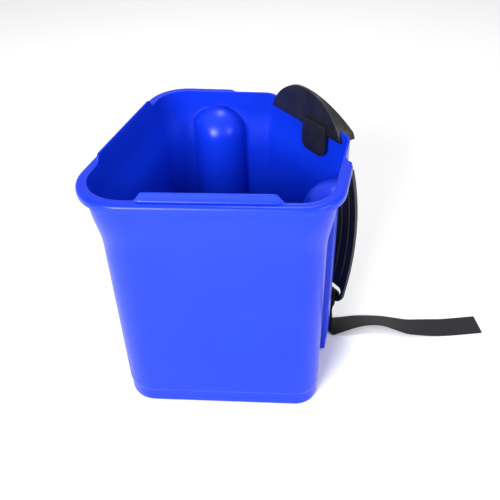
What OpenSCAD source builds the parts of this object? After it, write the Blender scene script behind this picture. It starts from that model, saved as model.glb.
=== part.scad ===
// Corner feed bucket: a moulded five-sided tub, a lift-off hanger that
// saddles its plain back edge, a bowed rear leg and a webbing safety strap.
// Millimetres. +Z up, the hanger at +Y, origin in the middle of the flat base.

/* [Tub] */
// Length of each long wall between its two corner points
long_wall = 240; // [200:1:290]
// Angle between the two long walls
front_angle = 77; // [72:1:82]
// Depth from the front corner point to the back wall
tub_depth = 281; // [265:1:330]
// Length of the back wall between its corner points
back_width = 134; // [134:1:150]
// Height from the base to the rim
tub_height = 282; // [235:1:340]
// Thickness of the tub's walls
wall_t = 2.4; // [1.8:0.1:3]
// Thickness of the tub's floor
floor_t = 3; // [2:0.1:5]
// Radius of the front corner
front_r = 41; // [30:1:55]
// Radius of the two side corners
side_r = 35; // [28:1:45]
// Radius of the two back corners
back_r = 16; // [15:1:17]
// How far the wall foot stands in from the rim
wall_inset = 8.6; // [6:0.1:9.5]
// How far the wall leans out between the foot and the flare
wall_lean = 1.8; // [0:0.1:3]
// Height of the flare below the rim
flare_h = 50; // [40:1:60]

/* [Rim and foot] */
// Width of the rolled lip, out from the wall
lip_w = 8.5; // [6:0.1:11]
// Height of the rolled lip
lip_h = 9; // [8:0.1:12]
// How far in front of the back wall's line the lip ends
lip_back = 30; // [22:1:40]
// Height of the upstand tab on each long wall
tab_h = 9; // [4:0.5:15]
// Length of each upstand tab along its top
tab_len = 117; // [90:1:120]
// Height of the foot band
foot_h = 22; // [15:1:30]
// Step of the foot band in from the wall
foot_step = 1.2; // [0.6:0.1:2]

/* [Columns] */
// Radius of the half-round columns inside the short walls, at the top
column_r = 32; // [24:1:34]
// How much wider in radius each column is at its foot
column_draft = 6; // [2:0.5:8]
// Distance from the rim down to the top of each column
column_drop = 17; // [10:1:60]
// Distance of the column's centre in from the rim line
column_in = 5; // [4:0.5:8]

/* [Hanger] */
// Radius of the half-moon crest
crest_r = 63; // [52:1:64]
// Height of the crest above the rim
crest_rise = 30; // [20:1:36]
// Thickness of the saddle's inner flange
flange_t = 3.2; // [3:0.1:5]
// How far the inner flange reaches below the rim
flange_drop = 10; // [8:0.5:14]
// Clearance of the saddle over the tub's wall
saddle_gap = 0.4; // [0.3:0.05:0.8]
// Depth of the saddle's rear body behind the back wall
rear_depth = 14; // [14:0.5:18]
// Half of the rear body's width below the crest
rear_half_w = 47; // [40:0.5:50]
// Width of the inner tongue
tongue_w = 37; // [25:1:40]
// Height of the inner tongue
tongue_h = 36; // [28:1:50]
// Thickness of the inner tongue
tongue_t = 4; // [3:0.1:6]
// Distance from the hanger's middle to the tongue's near edge
tongue_side = 1; // [-18:1:12]
// Radius of the pegs that hold the tongue
peg_r = 2; // [1.5:0.1:2.5]

/* [Leg] */
// Half of the leg's width
leg_half_w = 58; // [45:0.5:58.5]
// How far below the bead the leg reaches its full width
leg_shoulder = 26; // [22:1:34]
// Thickness of the leg
leg_t = 4; // [3:0.1:4.5]
// How far the leg bows out from the straight line between its ends
leg_bulge = 17.7; // [14:0.1:20]
// Distance of the leg's bottom edge behind the back wall
leg_foot_off = 13; // [10:0.1:16]
// Height of the leg's bottom edge
leg_foot_z = 42; // [40:1:52]
// Radius of the leg's bottom corners
leg_corner_r = 9; // [4:1:12]
// Radius of the bead that the leg swings on
bead_r = 4; // [3:0.1:4.2]
// Distance from the rim down to the bead
bead_drop = 24; // [22:0.5:26]
// Running clearance round the bead
bead_gap = 0.3; // [0.2:0.05:0.4]
// Largest swing of the leg, in degrees
leg_swing = 12; // [4:1:14]

/* [Strap] */
// Width of the webbing
strap_w = 30; // [20:1:30]
// Thickness of the webbing
strap_t = 2; // [1.4:0.1:2.4]
// Height of the bar below the strap slot
bar_h = 8; // [6:0.5:10]
// Height of the strap slot
slot_h = 11; // [8:0.5:16]
// Width of leg left beside each end of the slot
slot_side = 4; // [4:0.5:10]

/* [Hidden] */
$fn = 96;
TUB_COLOR = [0.03, 0.2, 0.92];
HANGER_COLOR = [0.07, 0.07, 0.075];
WEB_COLOR = [0.12, 0.125, 0.13];
CUT = 1;
THIN = 0.3;
BIG = 400;
TUB_FN = 40;
ARC_STEPS = 8;

// Plan: corner points round the tub, counter-clockwise from the front corner
half_angle = front_angle / 2;
side_x = long_wall * sin(half_angle);
side_y = long_wall * cos(half_angle);
front_gap = front_r / sin(half_angle) - front_r;
mid_y = (front_gap + tub_depth) / 2;
back_y = tub_depth - mid_y;
plan_points = [
    [0, -mid_y],
    [side_x, side_y - mid_y],
    [back_width / 2, back_y],
    [-back_width / 2, back_y],
    [-side_x, side_y - mid_y]
];
plan_radii = [front_r, side_r, back_r, back_r, side_r];
SIDES = 5;
LONG_WALLS = [0, 4];
SHORT_WALLS = [1, 3];

function point(i) = plan_points[(i + SIDES) % SIDES];
function radius(i) = plan_radii[(i + SIDES) % SIDES];
function unit(v) = v / norm(v);
function along(i) = unit(point(i + 1) - point(i));
function outward(i) = [along(i)[1], -along(i)[0]];
function facing(i) = atan2(outward(i)[1], outward(i)[0]);
function turn(i) = acos(along(i - 1) * along(i));
function tangent_len(i) = radius(i) * tan(turn(i) / 2);
function wall_start(i) = point(i) + along(i) * tangent_len(i);
function wall_end(i) = point(i + 1) - along(i) * tangent_len(i + 1);
function wall_mid(i) = (wall_start(i) + wall_end(i)) / 2;
function corner_mid(i) = (point(i) + point(i + 1)) / 2;
function centre(i) = wall_start(i) - outward(i) * radius(i);

// Section: distance out from the rim line, and height
flare_top = tub_height - 20;
flare_foot = flare_top - flare_h;
foot_round = 5;
FLARE_STEPS = 5;
inset_top = wall_inset - wall_lean;
function flare(k) = [
    -inset_top * (1 + cos(180 * k / FLARE_STEPS)) / 2,
    flare_foot + flare_h * k / FLARE_STEPS
];
foot_face = wall_inset + foot_step;
function foot_arc(a) = [
    -foot_face - foot_round + foot_round * sin(a),
    foot_round - foot_round * cos(a)
];
outer_line = concat(
    [for (a = [0:45:90]) foot_arc(a)],
    [[-foot_face, foot_h - foot_step], [-wall_inset, foot_h]],
    [for (k = [0:FLARE_STEPS]) flare(k)],
    [[0, tub_height]]
);
inner_line = concat(
    [[-wall_inset - wall_t - 3, floor_t], [-wall_inset - wall_t, floor_t + foot_round]],
    [[-wall_inset - wall_t, foot_h]],
    [for (k = [0:FLARE_STEPS]) flare(k) - [wall_t, 0]],
    [[-wall_t, tub_height + CUT]]
);
middle_line = [for (p = outer_line) p - [wall_t / 2, 0]];
lip_low = tub_height - lip_h;
lip_round = lip_h / 2 - 0.2;
lip_skin = 2.2;
tab_bevel = 10;
TAB_SHY = 0.35;
LIP_STEPS = 3;
lip_line = concat(
    [for (k = [0:LIP_STEPS]) lip_arc(90 * k / LIP_STEPS - 90, lip_low + lip_round)],
    [for (k = [0:LIP_STEPS]) lip_arc(90 * k / LIP_STEPS, tub_height - lip_round)]
);
function lip_arc(a, z) = [lip_w - lip_round + lip_round * cos(a), z + lip_round * sin(a)];

// Columns
flute_r = column_r - wall_t;
dome_z = tub_height - column_drop - column_r;

// Hanger
crest_z = tub_height + crest_rise - crest_r;
wall_out = back_y;
wall_in = back_y - wall_t;
flange_out = wall_in - saddle_gap;
flange_in = flange_out - flange_t;
saddle_top = tub_height + crest_rise;
crest_tip_t = 3;
rear_face = wall_out + rear_depth;
socket_skin = 2.5;
bead_z = tub_height - bead_drop;
bead_y = wall_out + (rear_depth + saddle_gap) / 2;
rear_foot = bead_z - bead_r - bead_gap - socket_skin;
tongue_top = tub_height + 1;
tongue_round = 9;
peg_len = flange_t - 0.4;
peg_z = tub_height - 4;
PEGS = [0.25, 0.75];
// The leg's arc, seen from the side as depth and height
leg_foot = [wall_out + leg_foot_off, leg_foot_z];
leg_chord = [bead_y, bead_z] - leg_foot;
leg_mid_r = leg_chord * leg_chord / (8 * leg_bulge) + leg_bulge / 2;
leg_inward = unit([-leg_chord[1], leg_chord[0]]);
arc_middle = leg_foot + leg_chord / 2 + leg_inward * (leg_mid_r - leg_bulge);
arc_y = arc_middle[0];
leg_mid_z = arc_middle[1];
function leg_y(z, r) = arc_y + sqrt(r * r - pow(z - leg_mid_z, 2));
LEG_STEPS = 24;
SHOULDER_RISE = 14;
function leg_arc(r) = [for (k = [0:LEG_STEPS])
    let (low = asin((leg_foot_z - leg_mid_z) / r), high = asin((bead_z - leg_mid_z) / r))
    let (a = low + (high - low) * k / LEG_STEPS)
    arc_middle + r * [cos(a), sin(a)]
];
leg_lean = asin((bead_z - leg_mid_z) / leg_mid_r);
slot_half = leg_half_w - slot_side;
bar_z = leg_foot_z + bar_h / 2;
slot_z = leg_foot_z + bar_h + slot_h / 2;
bar_y = leg_y(bar_z, leg_mid_r);
bar_lean = asin((bar_z - leg_mid_z) / leg_mid_r);

// Strap
LOOP_GAP = 0.5;
loop_x = slot_half - slot_h / 2 - strap_w / 2 - LOOP_GAP;
loop_half_y = leg_t / 2 + LOOP_GAP;
// The bar is cut level, so its corners reach past the loop's own lean
loop_half_z = bar_h / 2 / cos(bar_lean) + leg_t / 2 * tan(abs(bar_lean)) + LOOP_GAP;
stub_len = 8;
STUB_GAP = 0.02;
stub_reach = loop_half_z + strap_t + stub_len - CUT + STUB_GAP;
stub_way = [0, sin(bar_lean), -cos(bar_lean)];
strap_start = [loop_x, bar_y, bar_z] + stub_way * stub_reach;
lie = strap_t / 2 + 0.2;
// The free strap beyond its first straight stretch: place from the start, with the
// height as a share of the start's height, and the width direction
strap_lay = [
    [[3, -3.6, 0.67], [-1, 0, 0]],
    [[6.6, -5.9, 0.48], [-1, 0, 0]],
    [[10.2, -8.3, 0.28], [-1, 0, 0]],
    [[13.4, -10.2, 0.12], [-1, 0.05, 0]],
    [[15.6, -9.9, 0.025], [-0.98, 0.15, 0]],
    [[17.8, -6.6, 0.01], [-0.95, 0.3, 0]],
    [[22, 1.5, 0.06], [-0.9, 0.4, -0.05]],
    [[27, 10, 0.12], [-0.89, 0.42, -0.15]],
    [[34, 25, 0.16], [-0.83, 0.5, -0.27]],
    [[43, 39, 0.18], [-0.74, 0.57, -0.34]],
    [[53, 51, 0.175], [-0.68, 0.64, -0.34]],
    [[65, 61, 0.14], [-0.68, 0.68, -0.25]],
    [[77, 71, 0.09], [-0.73, 0.67, -0.13]],
    [[86, 83, 0.05], [-0.8, 0.6, -0.05]],
    [[95, 96, 0.02], [-0.84, 0.55, 0]],
    [[104, 110, 0], [-0.86, 0.5, 0]],
    [[115, 129, 0], [-0.87, 0.49, 0]],
    [[126, 149, 0], [-0.87, 0.49, 0]]
];
strap_route = concat(
    [[strap_start, [-1, 0, 0]], [strap_start + stub_way * 5, [-1, 0, 0]]],
    [for (s = strap_lay) [
        [
            strap_start[0] + s[0][0],
            strap_start[1] + s[0][1],
            lie + s[0][2] * (strap_start[2] - lie)
        ],
        s[1]
    ]]
);
ROUTE_LAST = len(strap_route) - 1;
ROUTE_STEPS = 2;

function clamp_station(i) = max(0, min(ROUTE_LAST, i));
function blend4(a, b, c, d, t) =
    b + (c - a) * t / 2
    + (2 * a - 5 * b + 4 * c - d) * t * t / 2
    + (3 * b - a - 3 * c + d) * t * t * t / 2;
function station(k, what) =
    let (i = min(ROUTE_LAST - 1, floor(k / ROUTE_STEPS)), t = k / ROUTE_STEPS - i)
    blend4(
        strap_route[clamp_station(i - 1)][what],
        strap_route[i][what],
        strap_route[i + 1][what],
        strap_route[clamp_station(i + 2)][what],
        t
    );
last_ring = ROUTE_LAST * ROUTE_STEPS;
function heading(k) = unit(
    station(min(last_ring, k + 0.5), 0) - station(max(0, k - 0.5), 0)
);
function across(k) = unit(station(k, 1));
strap_bevel = strap_t / 4;
strap_section = [
    [strap_w / 2, -strap_bevel], [strap_w / 2, strap_bevel],
    [strap_w / 2 - strap_bevel, strap_t / 2], [strap_bevel - strap_w / 2, strap_t / 2],
    [-strap_w / 2, strap_bevel], [-strap_w / 2, -strap_bevel],
    [strap_bevel - strap_w / 2, -strap_t / 2], [strap_w / 2 - strap_bevel, -strap_t / 2]
];
RIM = len(strap_section);
function ring(k) =
    let (p = station(k, 0), w = across(k), n = unit(cross(heading(k), w)))
    [for (q = strap_section) p + w * q[0] + n * q[1]];

// A piece at a place on a wall, x outward and y back along the wall
module on_wall(i, place) {
    translate([place[0], place[1], 0])
        rotate([0, 0, facing(i)])
            children();
}

// The rounded plan at a distance out from the rim line
module plan(out) {
    polygon([for (i = [0:SIDES - 1], k = [0:ARC_STEPS])
        let (a = facing(i - 1) + turn(i) * k / ARC_STEPS)
        centre(i) + (radius(i) + out) * [cos(a), sin(a)]
    ]);
}

module slice(p, drop) {
    translate([0, 0, p[1] - drop])
        linear_extrude(THIN)
            plan(p[0]);
}

// The body whose side follows a line of distances and heights
module body_of(line) {
    for (k = [0:len(line) - 2])
        hull() {
            slice(line[k], 0);
            slice(line[k + 1], THIN);
        }
}

// The space round the back wall and its corners, where the lip is left off
module back_bay(margin) {
    translate([-BIG, back_y - lip_back - margin, lip_low - 2 * CUT])
        cube([2 * BIG, BIG, lip_h + 4 * CUT]);
}

module lip() {
    difference() {
        body_of(lip_line);
        translate([0, 0, lip_low - CUT])
            linear_extrude(lip_h + 2 * CUT)
                plan(-wall_t / 2);
        back_bay(0);
        difference() {
            translate([0, 0, lip_low - CUT])
                linear_extrude(lip_h + CUT - lip_skin)
                    plan(lip_w - lip_skin);
            back_bay(lip_skin);
        }
    }
}

module tab(i) {
    on_wall(i, wall_mid(i))
        rotate([90, 0, 90])
            translate([0, tub_height - CUT, TAB_SHY - wall_t])
                linear_extrude(wall_t - 2 * TAB_SHY)
                    polygon([
                        [-tab_len / 2 - tab_bevel, 0],
                        [tab_len / 2 + tab_bevel, 0],
                        [tab_len / 2, tab_h + CUT],
                        [-tab_len / 2, tab_h + CUT]
                    ]);
}

module column_body(i, r) {
    on_wall(i, corner_mid(i))
        translate([-column_in, 0, 0]) {
            cylinder(h = dome_z, r1 = r + column_draft, r2 = r);
            translate([0, 0, dome_z])
                sphere(r);
        }
}

module column(i) {
    intersection() {
        column_body(i, column_r);
        body_of(middle_line);
    }
}

module flute(i) {
    translate([0, 0, -CUT])
        column_body(i, flute_r);
    column_body(i, flute_r);
}

module tub() {
    $fn = TUB_FN;
    color(TUB_COLOR)
        difference() {
            union() {
                difference() {
                    union() {
                        body_of(outer_line);
                        lip();
                    }
                    body_of(inner_line);
                }
                for (i = LONG_WALLS)
                    tab(i);
                for (i = SHORT_WALLS)
                    column(i);
            }
            for (i = SHORT_WALLS)
                flute(i);
        }
}

// A side outline, given as depth and height, drawn out across the hanger
module across_hanger(half_w) {
    rotate([90, 0, 90])
        translate([0, 0, -half_w])
            linear_extrude(2 * half_w)
                children();
}

// An outline seen from behind, given as x and height, drawn out in depth
module through_depth() {
    translate([0, BIG, 0])
        rotate([90, 0, 0])
            linear_extrude(BIG)
                children();
}

module saddle_side() {
    difference() {
        polygon([
            [flange_in, tub_height - flange_drop],
            [flange_in, saddle_top],
            [flange_in + crest_tip_t, saddle_top],
            [rear_face, tub_height - 4],
            [rear_face, rear_foot],
            [wall_out + saddle_gap, rear_foot],
            [wall_out + saddle_gap, tub_height - flange_drop]
        ]);
        translate([flange_out, rear_foot - CUT])
            square([wall_out + saddle_gap - flange_out, tub_height + 0.3 + CUT - rear_foot]);
        translate([bead_y, bead_z])
            circle(bead_r + bead_gap);
        for (a = [0:leg_swing / 3:leg_swing])
            translate([bead_y, bead_z])
                rotate(leg_lean + a)
                    translate([-leg_t / 2 - bead_gap, -3 * bead_r])
                        square([leg_t + 2 * bead_gap, 3 * bead_r]);
    }
}

module pegs(r) {
    for (k = PEGS)
        translate([tongue_side + tongue_w * k, flange_in + peg_len, peg_z])
            rotate([90, 0, 0])
                cylinder(h = peg_len + tongue_t / 2, r = r);
}

module saddle_face() {
    intersection() {
        translate([0, crest_z])
            circle(crest_r);
        translate([-crest_r, tub_height - flange_drop])
            square([2 * crest_r, crest_r]);
    }
    translate([-rear_half_w, rear_foot - CUT])
        square([2 * rear_half_w, tub_height - rear_foot]);
}

module saddle() {
    color(HANGER_COLOR)
        difference() {
            intersection() {
                across_hanger(crest_r)
                    saddle_side();
                through_depth()
                    saddle_face();
            }
            pegs(peg_r);
        }
}

module tongue() {
    color(HANGER_COLOR) {
        intersection() {
            translate([0, flange_in - tongue_t, 0])
                cube([BIG, tongue_t, BIG]);
            through_depth()
                translate([tongue_side, tongue_top - tongue_h]) {
                    translate([0, tongue_round])
                        square([tongue_w, tongue_h - tongue_round]);
                    translate([tongue_round, 0])
                        square([tongue_w - 2 * tongue_round, tongue_h]);
                    for (x = [tongue_round, tongue_w - tongue_round])
                        translate([x, tongue_round])
                            circle(tongue_round);
                }
        }
        pegs(peg_r);
    }
}

module leg_side() {
    outer = leg_arc(leg_mid_r + leg_t / 2);
    inner = leg_arc(leg_mid_r - leg_t / 2);
    polygon(concat(outer, [for (k = [LEG_STEPS:-1:0]) inner[k]]));
    translate([bead_y, bead_z])
        circle(bead_r);
}

module leg_face() {
    r = leg_corner_r;
    top = rear_half_w - 1;
    full = bead_z - leg_shoulder;
    polygon([
        [-leg_half_w, leg_foot_z + r], [leg_half_w, leg_foot_z + r],
        [leg_half_w, full], [top, full + SHOULDER_RISE],
        [top, BIG], [-top, BIG],
        [-top, full + SHOULDER_RISE], [-leg_half_w, full]
    ]);
    translate([r - leg_half_w, leg_foot_z])
        square([2 * (leg_half_w - r), BIG]);
    for (x = [r - leg_half_w, leg_half_w - r])
        translate([x, leg_foot_z + r])
            circle(r);
}

module slot_face() {
    r = slot_h / 2;
    translate([r - slot_half, slot_z - r])
        square([2 * (slot_half - r), slot_h]);
    for (x = [r - slot_half, slot_half - r])
        translate([x, slot_z])
            circle(r);
}

module leg() {
    color(HANGER_COLOR)
        difference() {
            intersection() {
                across_hanger(leg_half_w)
                    leg_side();
                through_depth()
                    leg_face();
            }
            through_depth()
                slot_face();
        }
}

module loop_side() {
    translate([bar_y, bar_z])
        rotate(bar_lean) {
            difference() {
                translate([-loop_half_y - strap_t, -loop_half_z - strap_t])
                    square([2 * (loop_half_y + strap_t), 2 * (loop_half_z + strap_t)]);
                translate([-loop_half_y, -loop_half_z])
                    square([2 * loop_half_y, 2 * loop_half_z]);
            }
            translate([-strap_t, -loop_half_z - strap_t - stub_len + CUT])
                square([2 * strap_t, stub_len]);
        }
}

module strap_loop() {
    color(WEB_COLOR)
        translate([loop_x, 0, 0])
            across_hanger(strap_w / 2)
                loop_side();
}

module strap_tail() {
    points = [for (k = [0:last_ring], p = ring(k)) p];
    sides = [for (k = [0:last_ring - 1], j = [0:RIM - 1], f = [
        [k * RIM + j, (k + 1) * RIM + (j + 1) % RIM, k * RIM + (j + 1) % RIM],
        [k * RIM + j, (k + 1) * RIM + j, (k + 1) * RIM + (j + 1) % RIM]
    ]) f];
    first_cap = [for (j = [1:RIM - 2]) [0, j, j + 1]];
    last_cap = [for (j = [1:RIM - 2]) [0, j + 1, j] + last_ring * RIM * [1, 1, 1]];
    color(WEB_COLOR)
        polyhedron(points, concat(sides, first_cap, last_cap));
}

tub();
saddle();
tongue();
leg();
strap_loop();
strap_tail();
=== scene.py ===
"""Looks of the feed bucket: a blue moulded tub with a black lift-off hanger and a webbing strap.

Everything is in metres in the CAD frame: +Z up, the hanger at +Y, origin in the middle of the flat base.
"""
import math

import bmesh
import bpy
from mathutils import Matrix, Vector


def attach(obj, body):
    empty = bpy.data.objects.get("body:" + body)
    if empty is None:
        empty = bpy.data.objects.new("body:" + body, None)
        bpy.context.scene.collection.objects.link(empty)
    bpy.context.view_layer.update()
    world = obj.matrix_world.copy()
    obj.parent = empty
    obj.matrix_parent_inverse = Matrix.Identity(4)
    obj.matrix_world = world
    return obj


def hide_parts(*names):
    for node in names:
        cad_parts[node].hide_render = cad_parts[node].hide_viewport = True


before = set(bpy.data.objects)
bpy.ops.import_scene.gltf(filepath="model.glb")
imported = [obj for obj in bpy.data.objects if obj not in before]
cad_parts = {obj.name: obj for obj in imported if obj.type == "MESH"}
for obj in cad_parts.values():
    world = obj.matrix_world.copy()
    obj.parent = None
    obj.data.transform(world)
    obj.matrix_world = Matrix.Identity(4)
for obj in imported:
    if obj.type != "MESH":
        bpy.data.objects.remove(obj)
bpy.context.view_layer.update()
MM = 0.001


# ---------------------------------------------------------------- camera, light and floor
CAMERA_PLACE = Vector((0.5026, -0.2898, 0.6028))
CAMERA_TARGET = Vector((-0.0557, 0.0839, 0.0821))
CAMERA_ROLL = math.radians(-1.7)
CAMERA_LENS = 47.64


def add_camera():
    data = bpy.data.cameras.new("camera")
    data.lens = CAMERA_LENS
    data.sensor_width = 36
    camera = bpy.data.objects.new("camera", data)
    bpy.context.scene.collection.objects.link(camera)
    look = (CAMERA_TARGET - CAMERA_PLACE).to_track_quat("-Z", "Y").to_matrix().to_4x4()
    roll = Matrix.Rotation(CAMERA_ROLL, 4, "Z")
    camera.matrix_world = Matrix.Translation(CAMERA_PLACE) @ look @ roll
    bpy.context.scene.camera = camera


def add_area_light(name, place, target, size, power, colour=(1, 1, 1)):
    data = bpy.data.lights.new(name, "AREA")
    data.shape = "DISK"
    data.size = size
    data.energy = power
    data.color = colour
    lamp = bpy.data.objects.new(name, data)
    lamp.location = place
    lamp.rotation_euler = (Vector(target) - Vector(place)).to_track_quat("-Z", "Y").to_euler()
    bpy.context.scene.collection.objects.link(lamp)


def add_stage():
    bpy.ops.mesh.primitive_plane_add(size=30, location=(0, 0, 0))
    floor = bpy.context.object
    floor.name = "floor"
    material = bpy.data.materials.new("floor_white")
    material.use_nodes = True
    shader = material.node_tree.nodes["Principled BSDF"]
    shader.inputs["Base Color"].default_value = (0.95, 0.95, 0.95, 1)
    shader.inputs["Roughness"].default_value = 0.9
    shader.inputs["Specular IOR Level"].default_value = 0.1
    floor.data.materials.append(material)
    world = bpy.data.worlds.new("studio")
    world.use_nodes = True
    background = world.node_tree.nodes["Background"]
    background.inputs["Color"].default_value = (1, 1, 1, 1)
    background.inputs["Strength"].default_value = 0.58
    bpy.context.scene.world = world
    bpy.context.scene.view_settings.view_transform = "Standard"
    add_area_light("key", (0.75, -1.35, 0.95), (0, 0, 0.12), 0.8, 42)
    add_area_light("top", (-0.5, 0.5, 1.9), (0, 0, 0.15), 0.5, 12)
    add_area_light("side", (1.6, 0.6, 0.9), (0, 0, 0.15), 0.8, 12)


# ---------------------------------------------------------------- materials
def new_material(name):
    material = bpy.data.materials.new(name)
    material.use_nodes = True
    tree = material.node_tree
    return material, tree, tree.nodes["Principled BSDF"]


def node(tree, kind, **inputs):
    made = tree.nodes.new(kind)
    for key, value in inputs.items():
        made.inputs[key.replace("_", " ")].default_value = value
    return made


def noise(tree, scale, detail=3.0, rough=0.5, stretch=(1, 1, 1)):
    coords = tree.nodes.new("ShaderNodeTexCoord")
    mapping = tree.nodes.new("ShaderNodeMapping")
    mapping.inputs["Scale"].default_value = stretch
    texture = node(tree, "ShaderNodeTexNoise", Scale=scale, Detail=detail, Roughness=rough)
    tree.links.new(coords.outputs["Object"], mapping.inputs["Vector"])
    tree.links.new(mapping.outputs["Vector"], texture.inputs["Vector"])
    return texture.outputs["Fac"]


def ramp(tree, source, stops):
    made = tree.nodes.new("ShaderNodeValToRGB")
    elements = made.color_ramp.elements
    while len(elements) < len(stops):
        elements.new(0.5)
    for element, (place, colour) in zip(elements, stops):
        element.position = place
        element.color = (*colour, 1) if len(colour) == 3 else colour
    tree.links.new(source, made.inputs["Fac"])
    return made.outputs["Color"]


def grey(value):
    return (value, value, value)


def add_bump(tree, shader, layers):
    """Stacks bumps: each layer is a height, its strength and its depth in metres."""
    previous = None
    for height, strength, distance in layers:
        bump = node(tree, "ShaderNodeBump", Strength=strength, Distance=distance)
        tree.links.new(height, bump.inputs["Height"])
        if previous:
            tree.links.new(previous, bump.inputs["Normal"])
        previous = bump.outputs["Normal"]
    tree.links.new(previous, shader.inputs["Normal"])


def blue_plastic():
    material, tree, shader = new_material("blue_plastic")
    patches = noise(tree, 9, 2)
    colour = ramp(tree, patches, [(0.3, (0.002, 0.026, 0.55)), (0.7, (0.003, 0.032, 0.62))])
    tree.links.new(colour, shader.inputs["Base Color"])
    gloss = ramp(tree, noise(tree, 60, 5, 0.6), [(0.35, grey(0.3)), (0.7, grey(0.36))])
    tree.links.new(gloss, shader.inputs["Roughness"])
    shader.inputs["IOR"].default_value = 1.5
    shader.inputs["Specular IOR Level"].default_value = 0.28
    waves = noise(tree, 14, 1)
    add_bump(tree, shader, [(waves, 0.08, 0.0006)])
    return material


def black_plastic():
    material, tree, shader = new_material("black_plastic")
    colour = ramp(tree, noise(tree, 30, 4), [(0.3, (0.005, 0.005, 0.006)), (0.75, (0.012, 0.012, 0.014))])
    tree.links.new(colour, shader.inputs["Base Color"])
    gloss = ramp(tree, noise(tree, 200, 4), [(0.3, grey(0.34)), (0.7, grey(0.5))])
    tree.links.new(gloss, shader.inputs["Roughness"])
    grain = noise(tree, 2600, 2)
    add_bump(tree, shader, [(grain, 0.35, 0.00008)])
    return material


def webbing():
    """Plain weave on the strap's own UVs: u across in metres, v along in metres."""
    material, tree, shader = new_material("webbing")
    uv = tree.nodes.new("ShaderNodeUVMap")
    uv.uv_map = "weave"
    waves = []
    for direction, pitch in (("X", 0.0019), ("Y", 0.0024)):
        wave = node(tree, "ShaderNodeTexWave", Scale=math.pi / 10 / pitch, Distortion=0.4)
        wave.inputs["Detail"].default_value = 1
        wave.bands_direction = direction
        wave.wave_profile = "SIN"
        tree.links.new(uv.outputs["UV"], wave.inputs["Vector"])
        waves.append(wave.outputs["Fac"])
    weave = tree.nodes.new("ShaderNodeMath")
    weave.operation = "MULTIPLY"
    tree.links.new(waves[0], weave.inputs[0])
    tree.links.new(waves[1], weave.inputs[1])
    colour = ramp(tree, weave.outputs[0], [(0.0, (0.003, 0.003, 0.004)), (0.7, (0.013, 0.014, 0.018))])
    tree.links.new(colour, shader.inputs["Base Color"])
    shader.inputs["Roughness"].default_value = 0.75
    shader.inputs["Specular IOR Level"].default_value = 0.3
    shader.inputs["Sheen Weight"].default_value = 0.08
    shader.inputs["Sheen Roughness"].default_value = 0.5
    fuzz = noise(tree, 3000, 2)
    add_bump(tree, shader, [(weave.outputs[0], 0.8, 0.00035), (fuzz, 0.3, 0.0001)])
    return material


def thread():
    material, tree, shader = new_material("thread")
    colour = ramp(tree, noise(tree, 900, 2), [(0.3, (0.03, 0.03, 0.032)), (0.7, (0.07, 0.07, 0.075))])
    tree.links.new(colour, shader.inputs["Base Color"])
    shader.inputs["Roughness"].default_value = 0.6
    add_bump(tree, shader, [(noise(tree, 4000, 2), 0.4, 0.0001)])
    return material


# ---------------------------------------------------------------- mesh helpers
def add_piece(name, points, faces, material, sharp_angle=40):
    mesh = bpy.data.meshes.new(name)
    mesh.from_pydata([tuple(p) for p in points], [], faces)
    mesh.validate()
    bm = bmesh.new()
    bm.from_mesh(mesh)
    bmesh.ops.recalc_face_normals(bm, faces=bm.faces)
    bm.to_mesh(mesh)
    bm.free()
    piece = bpy.data.objects.new(name, mesh)
    bpy.context.scene.collection.objects.link(piece)
    mesh.materials.append(material)
    smooth_by_angle(piece, sharp_angle)
    return piece


def smooth_by_angle(piece, angle):
    bpy.ops.object.select_all(action="DESELECT")
    piece.select_set(True)
    bpy.context.view_layer.objects.active = piece
    bpy.ops.object.shade_smooth_by_angle(angle=math.radians(angle))


def ring_faces(rings, count, closed_rings=False):
    """Quads between rings of count points each; the rings are closed loops."""
    faces = []
    last = rings if closed_rings else rings - 1
    for k in range(last):
        for j in range(count):
            a = k * count + j
            b = k * count + (j + 1) % count
            c = ((k + 1) % rings) * count + (j + 1) % count
            d = ((k + 1) % rings) * count + j
            faces.append((a, b, c, d))
    return faces


def softened(name, cad_node, material, width, segments=3):
    """A copy of a CAD piece with its flat faces joined up and every hard edge rounded."""
    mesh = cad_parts[cad_node].data.copy()
    mesh.materials.clear()
    mesh.materials.append(material)
    piece = bpy.data.objects.new(name, mesh)
    bpy.context.scene.collection.objects.link(piece)
    bm = bmesh.new()
    bm.from_mesh(mesh)
    bmesh.ops.remove_doubles(bm, verts=bm.verts, dist=0.00002)
    bmesh.ops.dissolve_limit(bm, angle_limit=math.radians(1.0), verts=bm.verts, edges=bm.edges)
    bm.to_mesh(mesh)
    bm.free()
    for polygon in mesh.polygons:
        polygon.material_index = 0
    bevel = piece.modifiers.new("round", "BEVEL")
    bevel.width = width
    bevel.segments = segments
    bevel.limit_method = "ANGLE"
    bevel.angle_limit = math.radians(35)
    bevel.harden_normals = False
    bpy.context.view_layer.objects.active = piece
    bpy.ops.object.modifier_apply(modifier="round")
    smooth_by_angle(piece, 40)
    return piece


# ---------------------------------------------------------------- tub
LONG_WALL = 240 * MM
FRONT_ANGLE = math.radians(77)
TUB_DEPTH = 281 * MM
BACK_WIDTH = 134 * MM
TUB_HEIGHT = 282 * MM
WALL_T = 2.4 * MM
FLOOR_T = 3 * MM
FLOOR_ROUND = 4 * MM
FRONT_R = 41 * MM
SIDE_R = 35 * MM
BACK_R = 16 * MM
WALL_INSET = 8.6 * MM
WALL_LEAN = 1.8 * MM
FLARE_H = 50 * MM
RIM_BAND = 20 * MM
LIP_W = 8.5 * MM
LIP_H = 9 * MM
LIP_SKIN = 2.2 * MM
TAB_H = 9 * MM
TAB_LEN = 117 * MM
TAB_BEVEL = 10 * MM
FOOT_H = 22 * MM
FOOT_STEP = 1.2 * MM
FOOT_ROUND = 5 * MM
FOOT_BLEND = 3 * MM
COLUMN_R = 32 * MM
COLUMN_DRAFT = 6 * MM
COLUMN_DROP = 17 * MM
COLUMN_IN = 5 * MM
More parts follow.
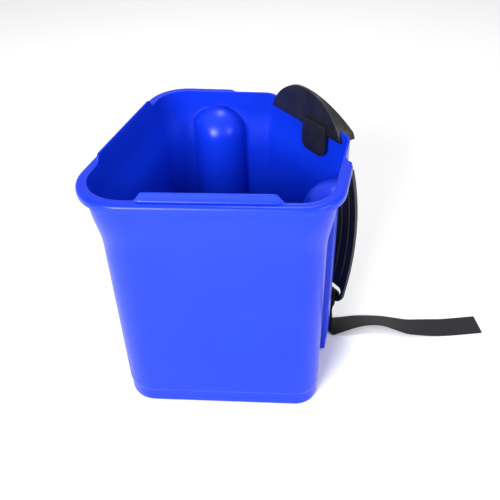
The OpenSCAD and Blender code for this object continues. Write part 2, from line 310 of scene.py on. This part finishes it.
FLUTE_FILLET = 2 * MM
COLUMN_FILLET = 5 * MM

half_angle = FRONT_ANGLE / 2
front_gap = FRONT_R / math.sin(half_angle) - FRONT_R
mid_y = (front_gap + TUB_DEPTH) / 2
side_x = LONG_WALL * math.sin(half_angle)
side_y = LONG_WALL * math.cos(half_angle) - mid_y
back_y = TUB_DEPTH - mid_y
CORNERS = [
    (Vector((0, -mid_y)), FRONT_R),
    (Vector((side_x, side_y)), SIDE_R),
    (Vector((BACK_WIDTH / 2, back_y)), BACK_R),
    (Vector((-BACK_WIDTH / 2, back_y)), BACK_R),
    (Vector((-side_x, side_y)), SIDE_R),
]
SIDES = len(CORNERS)
SHORT_WALLS = (1, 3)
LONG_WALLS = (0, 4)
FLUTE_ARC = 22
FLUTE_ROUND = 4


def wall_line(i):
    """Start, direction, outward direction and length of a wall's straight stretch, at the rim line."""
    here = CORNERS[i % SIDES][0]
    there = CORNERS[(i + 1) % SIDES][0]
    along = (there - here).normalized()
    return here, there, along, Vector((along.y, -along.x))


def turn(i):
    before = wall_line(i - 1)[2]
    after = wall_line(i)[2]
    return math.acos(before.dot(after))


def wall_run(i):
    here, there, along, out = wall_line(i)
    start = here + along * CORNERS[i % SIDES][1] * math.tan(turn(i) / 2)
    end = there - along * CORNERS[(i + 1) % SIDES][1] * math.tan(turn(i + 1) / 2)
    return start, end, along, out


def ease(t):
    return t * t * (3 - 2 * t)


def wall_out(z):
    """Distance of the wall's outer face from the rim line, negative inward."""
    flare_top = TUB_HEIGHT - RIM_BAND
    flare_foot = flare_top - FLARE_H
    inset_top = WALL_INSET - WALL_LEAN
    if z >= flare_top:
        return 0.0
    if z >= flare_foot:
        return -inset_top * (1 + math.cos(math.pi * (z - flare_foot) / FLARE_H)) / 2
    foot_face = WALL_INSET + FOOT_STEP
    if z >= FOOT_H:
        return -WALL_INSET + WALL_LEAN * (z - FOOT_H) / (flare_foot - FOOT_H)
    band = ease(min(1, max(0, (z - FOOT_H + FOOT_BLEND) / FOOT_BLEND)))
    if z >= FOOT_ROUND:
        return -foot_face + FOOT_STEP * band
    sag = FOOT_ROUND - math.sqrt(max(0, FOOT_ROUND ** 2 - (FOOT_ROUND - z) ** 2))
    return -foot_face - sag


DOME_Z = TUB_HEIGHT - COLUMN_DROP - COLUMN_R


def column_scale(z, radius):
    """1 up the shaft, then down to 0 over the dome."""
    x = max(0, (z - DOME_Z) / radius)
    return math.sqrt(max(0, 1 - x * x))


def drafted(radius, z):
    """The shaft is wider toward its foot."""
    return radius + COLUMN_DRAFT * max(0, DOME_Z - z) / DOME_Z


def column_curve(behind, radius, fillet):
    """Half outline of a round recess, from the wall to its middle: distance from the middle, and depth.

    behind is how deep the circle's centre lies behind the wall's face."""
    reach = math.sqrt((radius + fillet) ** 2 - (fillet - behind) ** 2)
    touch = math.acos((fillet - behind) / (radius + fillet))
    points = []
    for k in range(FLUTE_ROUND + 1):
        a = touch * k / FLUTE_ROUND
        points.append((reach - fillet * math.sin(a), fillet - fillet * math.cos(a)))
    for k in range(1, FLUTE_ARC + 1):
        a = touch * (1 - k / FLUTE_ARC)
        points.append((radius * math.sin(a), behind + radius * math.cos(a)))
    return points


CORNER_STEPS = 18
SHORT_STRAIGHT = 4
LEAST_WIDTH = 0.05


def span(low, high, steps):
    return [low + (high - low) * k / steps for k in range(steps)]


def long_stations(half):
    """Places along a long wall, close together where the tab rises."""
    top = TAB_LEN / 2
    foot = top + TAB_BEVEL
    places = span(-half, -foot, 4) + span(-foot, -top, 7) + span(-top, top, 14)
    places += span(top, foot, 7) + span(foot, half, 4)
    return places[1:]


def back_stations(half):
    return span(-half, half, 28)[1:]


def short_stations(half, offset, face, radius, fillet, scale):
    """Places along a short wall, with the extra depth of its column or flute, centred at offset."""
    curve = column_curve(face + COLUMN_IN, radius, fillet)
    if scale == 0:
        end = math.copysign(LIP_END_PLACE, -offset)
        near, far = end - 2.5 * MM, end + 2.5 * MM
        count = 2 * len(curve) - 1 + 2 * (SHORT_STRAIGHT - 1)
        before = 14
        after = count - before - 24
        places = span(-half, near, before + 1)[1:] + span(near, far, 24) + span(far, half, after)
        return [(u, 0.0) for u in places]
    reach = curve[0][0] * max(scale, LEAST_WIDTH)
    clear = 0.6 * MM
    halves = []
    for side in (-1, 1):
        room = half + side * offset * -1 - clear
        squeeze = min(1, room / reach) * max(scale, LEAST_WIDTH)
        edge = curve[0][0] * squeeze
        straight = [(-u, 0.0) for u in span(half - side * offset, edge, SHORT_STRAIGHT)][1:]
        bend = [(-u * squeeze, d * scale) for u, d in curve]
        halves.append([(offset - side * u, d) for u, d in straight + bend])
    return halves[0] + halves[1][-2::-1]


LIP_END = 1.2 * MM
LIP_BACK = 30 * MM
LIP_END_Y = back_y - LIP_BACK
# Where the lip ends on each short wall, from the middle of its straight stretch
LIP_END_PLACE = 12.6 * MM


def ring(z, out, radius, fillet, scale, lip=None):
    """One closed ring of points. lip gives (out, z) from the lip's share, 0 where the lip is left off,
    and the tab's share."""
    points = []

    def put(place, outward, distance, tab_share):
        if lip:
            full = place + outward * lip(1, tab_share)[0]
            lip_share = min(1, max(0, (LIP_END_Y - full.y) / LIP_END))
            distance, height = lip(lip_share, tab_share)
        else:
            height = z
        spot = place + outward * distance
        points.append(Vector((spot.x, spot.y, height)))

    for i in range(SIDES):
        start, end, along, outward = wall_run(i)
        before = wall_line(i - 1)[3]
        corner_r = CORNERS[i][1]
        middle = start - outward * corner_r
        first = math.atan2(before.y, before.x)
        for k in range(CORNER_STEPS + 1):
            a = first + turn(i) * k / CORNER_STEPS
            facing = Vector((math.cos(a), math.sin(a)))
            put(middle + facing * corner_r, facing, out, 0)
        centre = (start + end) / 2
        half = (end - start).length / 2
        if i in SHORT_WALLS:
            offset = ((CORNERS[i][0] + CORNERS[(i + 1) % SIDES][0]) / 2 - centre).dot(along)
            for u, depth in short_stations(half, offset, out, radius, fillet, scale):
                put(centre + along * u, outward, out - depth, 0)
        elif i in LONG_WALLS:
            for u in long_stations(half):
                rise = (TAB_LEN / 2 + TAB_BEVEL - abs(u)) / TAB_BEVEL
                put(centre + along * u, outward, out, ease(min(1, max(0, rise))))
        else:
            for u in back_stations(half):
                put(centre + along * u, outward, out, 0)
    return points


def mix(a, b, t):
    return a + (b - a) * t


def lip_rows():
    """Rows from under the lip, out round it, over the tab and to the inside: (out, height) makers."""
    skirt = LIP_W - LIP_SKIN
    bend = 4.2 * MM
    shape = [
        (0.0, -3.6), (0.8, -2.5), (skirt / MM - 1, -2.4), (skirt / MM, -3.6),
        (skirt / MM, 0.3 - LIP_H / MM), (skirt / MM + 0.4, -LIP_H / MM),
        (LIP_W / MM - 0.6, -LIP_H / MM), (LIP_W / MM - 0.15, 0.45 - LIP_H / MM),
        (LIP_W / MM, 1.3 - LIP_H / MM), (LIP_W / MM, -4.2),
    ]
    for k in range(1, 7):
        a = math.pi / 2 * k / 6
        shape.append(((LIP_W - bend + bend * math.cos(a)) / MM, (bend * math.sin(a) - bend) / MM))
    shape += [(2.6, 0.0), (1.5, 0.0)]
    rows = []
    for k, (out, drop) in enumerate(shape):
        plain = -3.6 + 3.4 * (k + 1) / len(shape)

        def row(lip_share, tab_share, out=out, drop=drop, plain=plain):
            return out * lip_share * MM, TUB_HEIGHT + mix(plain, drop, lip_share) * MM
        rows.append(row)
    crest = [
        (0.9, -0.02, 0.03), (0.35, -0.05, 0.14), (0.08, -0.1, 0.35), (0.0, -0.15, 0.84), (-0.3, -0.05, 0.96),
        (-1.2, 0.0, 1.0), (-2.0, -0.1, 0.96), (-2.35, -0.45, 0.84), (-2.4, -0.8, 0.4), (-2.4, -1.1, 0.1),
    ]
    for out, rest, raised in crest:
        def row(lip_share, tab_share, out=out, rest=rest, raised=raised):
            reach = out * lip_share if out > 0 else out
            return reach * MM, TUB_HEIGHT + mix(rest * MM, raised * TAB_H, tab_share)
        rows.append(row)
    return rows


def wall_heights(radius, low):
    """Heights of the rows up a wall, close together at the foot, the flare and the dome."""
    heights = [12 * MM, 18.8 * MM, 19.6 * MM, 20.5 * MM, 21.4 * MM, 22.2 * MM, 25 * MM]
    heights += [z * MM for z in (60, 100, 140, 180, 205, 213, 219, 225)]
    heights += [DOME_Z + radius * math.sin(math.radians(a)) for a in range(0, 88, 5)]
    heights += [DOME_Z + radius * x for x in (1.0, 1.004)]
    return sorted(z for z in heights if low < z < TUB_HEIGHT - LIP_H - 0.5 * MM)


def tub():
    flute_r = COLUMN_R - WALL_T
    rings = []
    for a in range(0, 91, 15):
        z = FOOT_ROUND * (1 - math.cos(math.radians(a)))
        sag = FOOT_ROUND * (1 - math.sin(math.radians(a)))
        rings.append(ring(z, -WALL_INSET - FOOT_STEP - sag, drafted(flute_r, z) + sag,
                          max(0.6 * MM, FLUTE_FILLET - sag), 1))
    for z in wall_heights(flute_r, FOOT_ROUND + MM):
        rings.append(ring(z, wall_out(z), drafted(flute_r, z), FLUTE_FILLET, column_scale(z, flute_r)))
    rings.append(ring(TUB_HEIGHT - LIP_H - 0.4 * MM, 0, flute_r, FLUTE_FILLET, 0))
    for row in lip_rows():
        rings.append(ring(0, 0, flute_r, FLUTE_FILLET, 0, lip=row))
    low = FLOOR_T + FLOOR_ROUND
    inner_foot = -WALL_INSET
    inside = [TUB_HEIGHT - LIP_H] + wall_heights(COLUMN_R, low + MM)[::-1] + [low]
    inside = [TUB_HEIGHT - 2.2 * MM, TUB_HEIGHT - 5 * MM] + inside
    for z in inside:
        face = (wall_out(z) if z > FOOT_H else inner_foot) - WALL_T
        rings.append(ring(z, face, drafted(COLUMN_R, z), COLUMN_FILLET, column_scale(z, COLUMN_R)))
    for a in range(15, 91, 15):
        sag = FLOOR_ROUND * (1 - math.cos(math.radians(a)))
        z = low - FLOOR_ROUND * math.sin(math.radians(a))
        rings.append(ring(z, inner_foot - WALL_T - sag, drafted(COLUMN_R, z) + sag, COLUMN_FILLET - sag, 1))
    count = len(rings[0])
    faces = ring_faces(len(rings), count)
    faces.append(tuple(range(count))[::-1])
    faces.append(tuple((len(rings) - 1) * count + j for j in range(count)))
    piece = add_piece("tub_shell", [p for r in rings for p in r], faces, BLUE, 32)
    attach(piece, "tub_body")
    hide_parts("tub")


# ---------------------------------------------------------------- hanger
def dress(piece, body, slot, *nodes):
    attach(piece, body)
    if nodes:
        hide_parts(*nodes)


LEG_BULGE = 17.7 * MM
LEG_FOOT_OFF = 13 * MM
LEG_FOOT_Z = 42 * MM
LEG_T = 4 * MM
BEAD_DROP = 24 * MM
BEAD_OUT = 7.2 * MM
BEAD_Z = TUB_HEIGHT - BEAD_DROP
BEAD_Y = back_y + BEAD_OUT
foot = Vector((back_y + LEG_FOOT_OFF, LEG_FOOT_Z))
chord = Vector((BEAD_Y, BEAD_Z)) - foot
LEG_MID_R = chord.length_squared / (8 * LEG_BULGE) + LEG_BULGE / 2
LEG_BEND_R = LEG_MID_R + LEG_T / 2
arc_middle = foot + chord / 2 + Vector((-chord.y, chord.x)).normalized() * (LEG_MID_R - LEG_BULGE)
ARC_Y, LEG_MID_Z = arc_middle


def leg_y(z, inward):
    """Depth of a point that far inside the leg's outer face, at a height."""
    radius = LEG_BEND_R - inward
    return ARC_Y + math.sqrt(radius ** 2 - (z - LEG_MID_Z) ** 2)


RIBS = 9
RIB_PITCH = 12 * MM
RIB_W = 1.6 * MM
RIB_H = 0.7 * MM
RIB_SINK = 0.3 * MM
RIB_LOW = 70 * MM
RIB_HIGH = 226 * MM
RIB_STEPS = 40


def leg_ribs():
    """Upright ribs down the leg's inner face."""
    section = [
        (-RIB_W / 2, -RIB_SINK), (-RIB_W / 2, RIB_H * 0.5), (-RIB_W / 4, RIB_H),
        (RIB_W / 4, RIB_H), (RIB_W / 2, RIB_H * 0.5), (RIB_W / 2, -RIB_SINK),
    ]
    points, faces = [], []
    for n in range(RIBS):
        x = (n - (RIBS - 1) / 2) * RIB_PITCH
        first = len(points)
        for k in range(RIB_STEPS + 1):
            z = mix(RIB_LOW, RIB_HIGH, k / RIB_STEPS)
            near_end = min(k, RIB_STEPS - k)
            fade = min(1, (near_end + 0.15) / 3)
            for across, up in section:
                points.append(Vector((x + across, leg_y(z, LEG_T + up * fade), z)))
        count = len(section)
        faces += [tuple(first + v for v in f) for f in ring_faces(RIB_STEPS + 1, count)]
        faces.append(tuple(first + j for j in range(count)))
        faces.append(tuple(first + RIB_STEPS * count + j for j in range(count)))
    piece = add_piece("leg_ribs", points, faces, BLACK, 50)
    dress(piece, "leg_body", "black_plastic")


def hanger():
    dress(softened("saddle_shell", "saddle", BLACK, 1.1 * MM), "hanger", "black_plastic", "saddle")
    dress(softened("tongue_plate", "tongue", BLACK, 0.9 * MM), "hanger", "black_plastic", "tongue")
    dress(softened("leg_panel", "leg", BLACK, 1.3 * MM), "leg_body", "black_plastic", "leg")
    leg_ribs()


# ---------------------------------------------------------------- strap
STRAP_W = 30 * MM
STRAP_T = 2 * MM
LIE = STRAP_T / 2 + 0.2 * MM
# Beyond the first straight stretch: place from the start in millimetres, with the height as a
# share of the start's height, and the width direction
STRAP_LAY = [
    ((3, -3.6, 0.67), (-1, 0, 0)),
    ((6.6, -5.9, 0.48), (-1, 0, 0)),
    ((10.2, -8.3, 0.28), (-1, 0, 0)),
    ((13.4, -10.2, 0.12), (-1, 0.05, 0)),
    ((15.6, -9.9, 0.025), (-0.98, 0.15, 0)),
    ((17.8, -6.6, 0.01), (-0.95, 0.3, 0)),
    ((22, 1.5, 0.06), (-0.9, 0.4, -0.05)),
    ((27, 10, 0.12), (-0.89, 0.42, -0.15)),
    ((34, 25, 0.16), (-0.83, 0.5, -0.27)),
    ((43, 39, 0.18), (-0.74, 0.57, -0.34)),
    ((53, 51, 0.175), (-0.68, 0.64, -0.34)),
    ((65, 61, 0.14), (-0.68, 0.68, -0.25)),
    ((77, 71, 0.09), (-0.73, 0.67, -0.13)),
    ((86, 83, 0.05), (-0.8, 0.6, -0.05)),
    ((95, 96, 0.02), (-0.84, 0.55, 0)),
    ((104, 110, 0), (-0.86, 0.5, 0)),
    ((115, 129, 0), (-0.87, 0.49, 0)),
    ((126, 149, 0), (-0.87, 0.49, 0)),
]


def curve_through(stations, t):
    """The point at t on the smooth curve through the stations."""
    last = len(stations) - 1
    i = min(last - 1, int(t))
    f = t - i
    a, b, c, d = (stations[max(0, min(last, i + k))] for k in (-1, 0, 1, 2))
    return (b + (c - a) * f / 2 + (2 * a - 5 * b + 4 * c - d) * f * f / 2
            + (3 * b - a - 3 * c + d) * f ** 3 / 2)


ACROSS = 20
PER_STATION = 10


def web_section():
    """Half-thickness outline of the webbing, thinner at its selvedges: (across, side) round the section."""
    half = STRAP_W / 2
    top = []
    for k in range(ACROSS + 1):
        x = -half + STRAP_W * k / ACROSS
        edge = min(1, (half - abs(x)) / (1.2 * MM))
        top.append((x, STRAP_T / 2 * (0.35 + 0.57 * math.sqrt(edge))))
    return top + [(x, -t) for x, t in reversed(top)]


def web_band(name, places, widths, weave_start=0.0):
    """A closed band of webbing along places, with its width along widths, and UVs in metres."""
    section = web_section()
    count = len(section)
    points, along = [], []
    length = weave_start
    for k, place in enumerate(places):
        before = places[max(0, k - 1)]
        after = places[min(len(places) - 1, k + 1)]
        heading = (after - before).normalized()
        width = widths[k].normalized()
        side = heading.cross(width).normalized()
        if k:
            length += (place - places[k - 1]).length
        for x, t in section:
            points.append(place + width * x + side * t)
            along.append((x, length))
    rings = len(places)
    faces = ring_faces(rings, count)
    for base in (0, (rings - 1) * count):
        for j in range(ACROSS):
            quad = (base + j, base + j + 1, base + count - 2 - j, base + count - 1 - j)
            faces.append(quad)
    piece = add_piece(name, points, faces, WEB, 60)
    layer = piece.data.uv_layers.new(name="weave")
    for corner in piece.data.loops:
        layer.data[corner.index].uv = along[corner.vertex_index]
    return piece


BAR_H = 8 * MM
SLOT_SIDE = 4 * MM
SLOT_H = 11 * MM
LEG_HALF_W = 58 * MM
STUB_LEN = 8 * MM
LOOP_GAP = 0.5 * MM
STUB_GAP = 0.02 * MM
LOOP_X = LEG_HALF_W - SLOT_SIDE - SLOT_H / 2 - STRAP_W / 2 - LOOP_GAP
BAR_Z = LEG_FOOT_Z + BAR_H / 2
BAR_Y = leg_y(BAR_Z, LEG_T / 2)
BAR_LEAN = math.asin((BAR_Z - LEG_MID_Z) / LEG_MID_R)
# Half height inside the loop: the bar is cut level while the loop leans with the leg
LOOP_HALF_Z = BAR_H / 2 / math.cos(BAR_LEAN) + LEG_T / 2 * math.tan(abs(BAR_LEAN)) + LOOP_GAP


def strap_start():
    """Where the free strap leaves the sewn stretch, and which way."""
    down = Vector((0, math.sin(BAR_LEAN), -math.cos(BAR_LEAN)))
    reach = LOOP_HALF_Z + STRAP_T + STUB_LEN - MM + STUB_GAP
    return Vector((LOOP_X, BAR_Y, BAR_Z)) + down * reach, down


def free_strap():
    start, down = strap_start()
    places = [start, start + down * 5 * MM]
    widths = [Vector((-1, 0, 0))] * 2
    for (x, y, share), width in STRAP_LAY:
        height = mix(LIE, start.z, share)
        places.append(Vector((start.x + x * MM, start.y + y * MM, height)))
        widths.append(Vector(width))
    steps = (len(places) - 1) * PER_STATION
    line = [curve_through(places, k / PER_STATION) for k in range(steps + 1)]
    turns = [curve_through(widths, k / PER_STATION) for k in range(steps + 1)]
    piece = web_band("strap_free_end", line, turns)
    dress(piece, "leg_body", "webbing", "strap_tail")


def strap_loop():
    """The sewn loop of webbing round the bar below the slot."""
    bar_z, bar_y, lean, middle_x = BAR_Z, BAR_Y, BAR_LEAN, LOOP_X
    half_y = LEG_T / 2 + LOOP_GAP + STRAP_T / 2
    half_z = LOOP_HALF_Z + STRAP_T / 2
    bend = 2.2 * MM
    ply = STRAP_T / 2
    foot = -half_z - STRAP_T / 2 - STUB_LEN + MM
    outline = [(-ply, foot)]
    outline += [(-ply, mix(foot, -half_z - MM, k / 5)) for k in range(1, 6)]
    outline += [(-half_y + bend * 0.6, -half_z + 0.6 * MM), (-half_y, -half_z + bend)]
    outline += [(-half_y, half_z - bend)]
    outline += [(-half_y + bend * (1 - math.cos(a)), half_z - bend + bend * math.sin(a))
                for a in (0.4, 0.8, 1.2, 1.57)]
    outline += [(-y, z) for y, z in reversed(outline)]
    places = []
    for y, z in outline:
        turned_y = y * math.cos(lean) - z * math.sin(lean)
        turned_z = y * math.sin(lean) + z * math.cos(lean)
        places.append(Vector((middle_x, bar_y + turned_y, bar_z + turned_z)))
    smooth = [curve_through(places, k / 3) for k in range((len(places) - 1) * 3 + 1)]
    piece = web_band("strap_sewn_loop", smooth, [Vector((1, 0, 0))] * len(smooth))
    dress(piece, "leg_body", "webbing", "strap_loop")
    stitches(middle_x, bar_y, bar_z, lean, foot, half_z)


STITCH_ROWS = 3
STITCHES = 9
STITCH_LEN = 2.0 * MM
THREAD_R = 0.35 * MM


def stitches(middle_x, bar_y, bar_z, lean, foot, half_z):
    """Rows of thread across both faces of the sewn stretch."""
    points, faces = [], []
    pitch = (STRAP_W - 5 * MM) / STITCHES
    for face in (-1, 1):
        for row in range(STITCH_ROWS):
            z = mix(foot + 1.2 * MM, -half_z - 1.6 * MM, row / (STITCH_ROWS - 1))
            for n in range(STITCHES):
                x = middle_x + (n - (STITCHES - 1) / 2) * pitch
                first = len(points)
                for k, swell in ((-1, 0.35), (-0.6, 1), (0.6, 1), (1, 0.35)):
                    for j in range(6):
                        a = math.tau * j / 6
                        y = face * (STRAP_T * 0.96) + THREAD_R * swell * math.cos(a)
                        up = z + THREAD_R * swell * math.sin(a)
                        points.append(Vector((
                            x + k * STITCH_LEN / 2,
                            bar_y + y * math.cos(lean) - up * math.sin(lean),
                            bar_z + y * math.sin(lean) + up * math.cos(lean),
                        )))
                faces += [tuple(first + v for v in f) for f in ring_faces(4, 6)]
                faces.append(tuple(first + j for j in range(6)))
                faces.append(tuple(first + 18 + j for j in range(6)))
    dress(add_piece("strap_stitches", points, faces, THREAD, 60), "leg_body", "webbing")


# ---------------------------------------------------------------- the scene
add_camera()
add_stage()
BLUE = blue_plastic()
BLACK = black_plastic()
WEB = webbing()
THREAD = thread()
free_strap()
strap_loop()
hanger()
tub()
